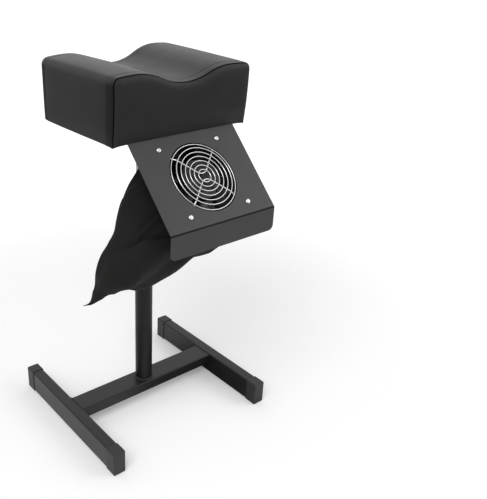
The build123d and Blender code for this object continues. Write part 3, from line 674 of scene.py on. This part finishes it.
thread_twist = thread.place(0) + thread.place(2)
thread_ply = thread_twist.math("SINE", thread_twist * 9000)
thread.set(Base_Color=thread.blend(thread_ply, grey(0.006), grey(0.014)), Roughness=0.7)
thread.emboss(thread_ply, 0.00008)
top_stitching = mesh_piece("top_stitching", stitches, thread)
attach(top_stitching, "head")

# Fan panel. Sheet steel bent to a tray, painted a satin dark grey; along the bend to the
# front lip a dull dark line of painted shade lies on the paint.
FAN_TILT = radians(46)
BEND_UP_SLOPE, BEND_HALF_WIDTH = 177.1 * MM, 1.7 * MM
panel_paint = powder_coat("panel_paint", 0.047, 0.42, peel=0.0009, depth=0.00004)
up_slope = panel_paint.place(2) * sin(FAN_TILT) + panel_paint.place(1) * cos(FAN_TILT)
from_bend = (up_slope - BEND_UP_SLOPE) ** 2
# Painted shade: a dull dark line along the bend.
panel_paint.cover((1 - from_bend.fade(0, BEND_HALF_WIDTH**2)) * 0.9, grey(0.012))
dress(panel_paint, "fan_panel")

# Fan frame. Die-cast aluminium under a sandy black paint, with a moulded plastic cover
# over the terminals on its side.
fan_casting = powder_coat("fan_casting", 0.018, 0.5, peel=0.0006, depth=0.00012)
dress(fan_casting, "fan_frame")
cover_plastic = moulded_plastic("terminal_plastic", 0.02, 0.45)
dress(cover_plastic, "terminal_cover")

# Fan motor. A stack of stamped steel sheets wound with enamelled copper stands on the
# hub, and the rotor's cage and shaft turn round and in it on two ball bearings.
def along_fan(finish):
    """Distance along the fan's tilted axis."""
    return finish.place(2) * cos(FAN_TILT) - finish.place(1) * sin(FAN_TILT)


core_steel = plated_steel("core_steel", 0.3, 0.4)
sheets = along_fan(core_steel) * 12000
core_steel.emboss(sheets.math("SINE", sheets), 0.00012)
dress(core_steel, "stator_core", "rotor_cage")
bright_steel = plated_steel("bright_steel", 0.6, 0.22)
dress(bright_steel, "rotor_shaft", "fan_bearings")
copper = Finish("coil_copper", Metallic=1.0, Roughness=0.28)
turns = along_fan(copper) * 12000 + copper.cloud(0.01) * 5
winding = turns.math("SINE", turns) * 0.5 + 0.5
copper.set(Base_Color=copper.blend(winding, (0.32, 0.10, 0.035, 1), (0.72, 0.3, 0.12, 1)))
copper.emboss(winding, 0.0003)
dress(copper, "stator_coils")

# Fan rotor. Hub and seven blades in one moulding of glossy black plastic, pressed over
# the rotor's cage.
rotor_plastic = moulded_plastic("rotor_plastic", 0.014, 0.26, depth=0.00001)
dress(rotor_plastic, "fan_rotor")

# Finger guard and its screws. Rings and spokes of steel wire, welded and chromed, held
# by the four long screws that also clamp the fan to the panel.
guard_chrome = plated_steel("guard_chrome", 0.62, 0.2)
dress(guard_chrome, "finger_guard", "fan_screws")

# Bag hem. Elastic in a casing of the bag's cloth, drawn tight round the fan's rear
# flange, so that the cloth gathers into small pleats. Drawn in millimetres.
FAN_SPOT = Vector((0, -119.5, 459.93))
FAN_UP = Vector((0, cos(FAN_TILT), sin(FAN_TILT)))
FAN_OUT = Vector((0, -sin(FAN_TILT), cos(FAN_TILT)))
FLANGE_HALF, FLANGE_CORNER = 60.3, 7
HEM_FRONT, HEM_REAR, HEM_THICKNESS = 34, 46, 2.2
HEM_PLEATS, HEM_PLEAT_HEIGHT = 72, 0.35
HEM_TURNS, HEM_LAPS = 720, 17


def rim_point(turn, stand, depth):
    """Point round the fan's flange, standing off it at a depth behind the panel."""
    across = Vector((cos(turn), sin(turn)))
    half = FLANGE_HALF + stand
    corner = FLANGE_CORNER + stand
    across *= half / max(abs(across.x), abs(across.y))
    arm = Vector((abs(across.x) - half + corner, abs(across.y) - half + corner))
    if min(arm) > 0:
        arm *= max(arm) / arm.length
        arm += Vector((half - corner, half - corner))
        across = Vector((copysign(arm.x, across.x), copysign(arm.y, across.y)))
    return FAN_SPOT + Vector((across.x, 0, 0)) + FAN_UP * across.y - FAN_OUT * depth


def pleat(turn, count):
    """Uneven ripple of gathered cloth round the flange, from -1 to 1."""
    return sin(count * turn + 4 * noise.noise(Vector((cos(turn), sin(turn), count)) * 2.5))


def sleeve(turns, rows, place, swell=None):
    """Open tube of rows of points, put where a turn and a share of its length say."""
    tube = bmesh.new()
    bmesh.ops.create_cone(tube, segments=turns, radius1=1, radius2=1, depth=2)
    upright = [edge for edge in tube.edges if abs(edge.verts[0].co.z - edge.verts[1].co.z) > 1]
    bmesh.ops.subdivide_edges(tube, edges=upright, cuts=rows - 2, use_grid_fill=True)
    spots = {vert: (atan2(vert.co.y, vert.co.x), (1 + vert.co.z) / 2) for vert in tube.verts}
    for vert, spot in spots.items():
        vert.co = place(*spot)
    bmesh.ops.recalc_face_normals(tube, faces=tube.faces)
    tube.normal_update()
    if swell:
        moves = {vert: vert.normal * swell(vert.co, *spot) for vert, spot in spots.items()}
        for vert, move in moves.items():
            vert.co += move
    bmesh.ops.remove_doubles(tube, verts=tube.verts, dist=0.01)
    bmesh.ops.scale(tube, verts=tube.verts, vec=(MM, MM, MM))
    return tube


def hem_point(turn, share):
    """Point of the casing: its section is a flat oval, pleated on the outer side."""
    lap = 2 * pi * share
    outer = 0.5 - 0.5 * cos(lap)
    depth = (HEM_FRONT + HEM_REAR) / 2 + (HEM_REAR - HEM_FRONT) / 2 * sin(lap)
    thickness = HEM_THICKNESS + HEM_PLEAT_HEIGHT * pleat(turn, HEM_PLEATS)
    return rim_point(turn, outer * thickness, depth)


cloth = Finish("bag_cloth", Specular_IOR_Level=0.09)
cloth_weave = cloth.place(0) * 0.6 + cloth.place(2)
cloth_fill = cloth.place(0) * 0.6 - cloth.place(2) + cloth.place(1)
warp = cloth_weave.math("SINE", cloth_weave * 7000)
weft = cloth_fill.math("SINE", cloth_fill * 7000)
cloth_fade = cloth.cloud(0.03, 3.0)
cloth.set(Base_Color=cloth.blend(cloth_fade, grey(0.012, 0.03), grey(0.018, 0.04)))
cloth.set(Roughness=0.7 + cloth_fade * 0.15, Sheen_Weight=0.04, Sheen_Roughness=0.5)
cloth.emboss(warp * weft * 0.5 + 0.5, 0.00012)
bag_hem = mesh_piece("gathered_hem", sleeve(HEM_TURNS, HEM_LAPS, hem_point), cloth)
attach(bag_hem, "head")
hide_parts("bag_hem")

# Dust bag. Thin black polyester, cut in one piece, closed up the back and flat across
# the bottom; it sags from the hem and droops to a corner on the left.
BAG_DROP, BAG_SWAY, BAG_DRAW, BAG_REACH = 150, 58, 16, 100
BAG_TIP_ROLL, BAG_FOLD, BAG_FOLD_WAVES = radians(6), 4.5, 2.5
BAG_SQUARENESS, BAG_RIGHT_TAPER = 0.7, 0.22
HEM_BLEND, HEM_BLEND_POWER = 0.12, 0.65
# Share of the bag's length, then sway, draw, lean, roll, half width, half depth, folds.
BAG_ROWS = (
    (0.00, 0.00, 0.00, 1.00, 0.00, 0.64, 0.62, 0.0),
    (0.10, 0.10, 0.10, 0.86, 0.05, 0.96, 0.58, 0.3),
    (0.30, 0.34, 0.25, 0.62, 0.15, 1.01, 0.46, 0.9),
    (0.53, 0.72, 0.48, 0.38, 0.40, 1.10, 0.32, 1.0),
    (0.70, 0.86, 0.72, 0.20, 0.60, 1.06, 0.18, 0.8),
    (0.86, 0.94, 0.90, 0.08, 0.85, 1.08, 0.06, 0.6),
    (1.00, 1.00, 1.00, 0.00, 1.00, 1.17, 0.00, 0.3),
)
# Places across the bag, with the drop of its bottom seam there.
BAG_SEAM = (
    (-178, 141),
    (-162, 139),
    (-150, 129),
    (-140, 122),
    (-125, 122),
    (-110, 128),
    (-95, 137),
    (-83, 142),
    (-60, 134),
    (-46, 128),
    (-20, 107),
    (0, 98),
    (31, 93),
    (60, 66),
)
# The same for the big fold that lies across the front of the bag.
FOLD_LINE = (
    (-160, 60),
    (-118, 57),
    (-104, 47),
    (-97, 42),
    (-62, 45),
    (0, 40),
    (60, 48),
    (100, 55),
)


def between(rows, place):
    """Values at a place in a table, on a smooth curve through its rows."""
    place = min(max(place, rows[0][0]), rows[-1][0])
    last = len(rows) - 1
    index = min(last - 1, sum(row[0] <= place for row in rows) - 1)
    low, high = rows[index], rows[index + 1]
    gap = high[0] - low[0]
    part = (place - low[0]) / gap
    values = []
    for column in range(1, len(low)):
        slopes = []
        for middle in (index, index + 1):
            before, after = rows[max(middle - 1, 0)], rows[min(middle + 1, last)]
            slopes.append((after[column] - before[column]) / (after[0] - before[0]) * gap)
        value = low[column] + (high[column] - low[column]) * part**2 * (3 - 2 * part)
        value += (slopes[0] * (1 - part) - slopes[1] * part) * part * (1 - part)
        values.append(value)
    return values


def bag_point(turn, share):
    """Point of the bag before its folds: a tube that leans, sways left and flattens."""
    sway, draw, lean, roll, wide, deep, fold = between(BAG_ROWS, share)
    lean *= FAN_TILT
    roll *= BAG_TIP_ROLL
    x = BAG_REACH * wide * copysign(abs(cos(turn)) ** BAG_SQUARENESS, cos(turn))
    if x > 0:
        x *= 1 - BAG_RIGHT_TAPER * share
    y = BAG_REACH * max(deep, 0) * copysign(abs(sin(turn)) ** BAG_SQUARENESS, sin(turn))
    y -= BAG_FOLD * fold * cos(BAG_FOLD_WAVES * pi * x / BAG_REACH)
    spot = FAN_SPOT - FAN_OUT * HEM_REAR
    spot += Vector((-BAG_SWAY * sway, BAG_DRAW * draw, -BAG_DROP * share))
    seam_x = spot.x + x * cos(roll)
    seam_gap = BAG_DROP * share - x * sin(roll) - between(BAG_SEAM, seam_x)[0]
    spot += Vector((cos(roll), 0, sin(roll))) * x + Vector((0, cos(lean), sin(lean))) * y
    spot.z += seam_gap * share**2
    start = rim_point(turn, 1.6, HEM_REAR - 1)
    return start.lerp(spot, min(1, share / HEM_BLEND) ** HEM_BLEND_POWER)


GATHER_COUNT, GATHER_HEIGHT, GATHER_RIPPLE, GATHER_LENGTH = 22, 2.4, 1.4, 0.1
FOLD_DENT, FOLD_SWELL, FOLD_ABOVE, FOLD_LIP, FOLD_BELOW = 8, 20, 12, 6, 60
SAG_HEIGHT, SAG_SIZE, WRINKLE_HEIGHT, WRINKLE_SIZE = 4, 38, 2.4, 20
SIDE_SEAM_HEIGHT = 0.8
HEM_SHARE, TAIL_SHARE, TAIL_POWER = 0.04, 0.25, 0.7


def bag_swell(point, turn, share):
    """How far the cloth's folds stand out: gathers, one big fold, and soft wrinkles."""
    gathers = GATHER_HEIGHT + GATHER_RIPPLE * pleat(turn, GATHER_COUNT)
    gathers *= exp(-share / GATHER_LENGTH)
    below = FAN_SPOT.z - FAN_OUT.z * HEM_REAR - point.z - between(FOLD_LINE, point.x)[0]
    if below < 0:
        fold = -FOLD_DENT * exp(below / FOLD_ABOVE)
    else:
        fold = -FOLD_DENT + FOLD_SWELL * (1 - exp(-below / FOLD_LIP))
    fold *= exp(-max(below, 0) / FOLD_BELOW) * min(1, max(0, -2 * sin(turn)))
    sag = noise.noise(point / SAG_SIZE) * SAG_HEIGHT
    crumple = noise.noise(Vector((point.x, point.y, point.z * 0.5)) / WRINKLE_SIZE)
    wrinkle = WRINKLE_HEIGHT * (0.35 - abs(crumple))
    side_seam = SIDE_SEAM_HEIGHT * exp(-((turn - pi / 2) ** 2) * 900)
    ends = min(1, (1 - share) / TAIL_SHARE) ** TAIL_POWER * min(1, share / HEM_SHARE)
    return (gathers + fold + (sag + wrinkle) * min(1, 0.4 + share) + side_seam) * ends


BAG_TURNS, BAG_LENGTHS = 200, 110
bag = mesh_piece("bag", sleeve(BAG_TURNS, BAG_LENGTHS, bag_point, bag_swell), cloth)
cloth_wall = bag.modifiers.new("cloth_thickness", "SOLIDIFY")
cloth_wall.thickness = 0.6 * MM
cloth_wall.offset = -1
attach(bag, "head")
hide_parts("dust_bag")
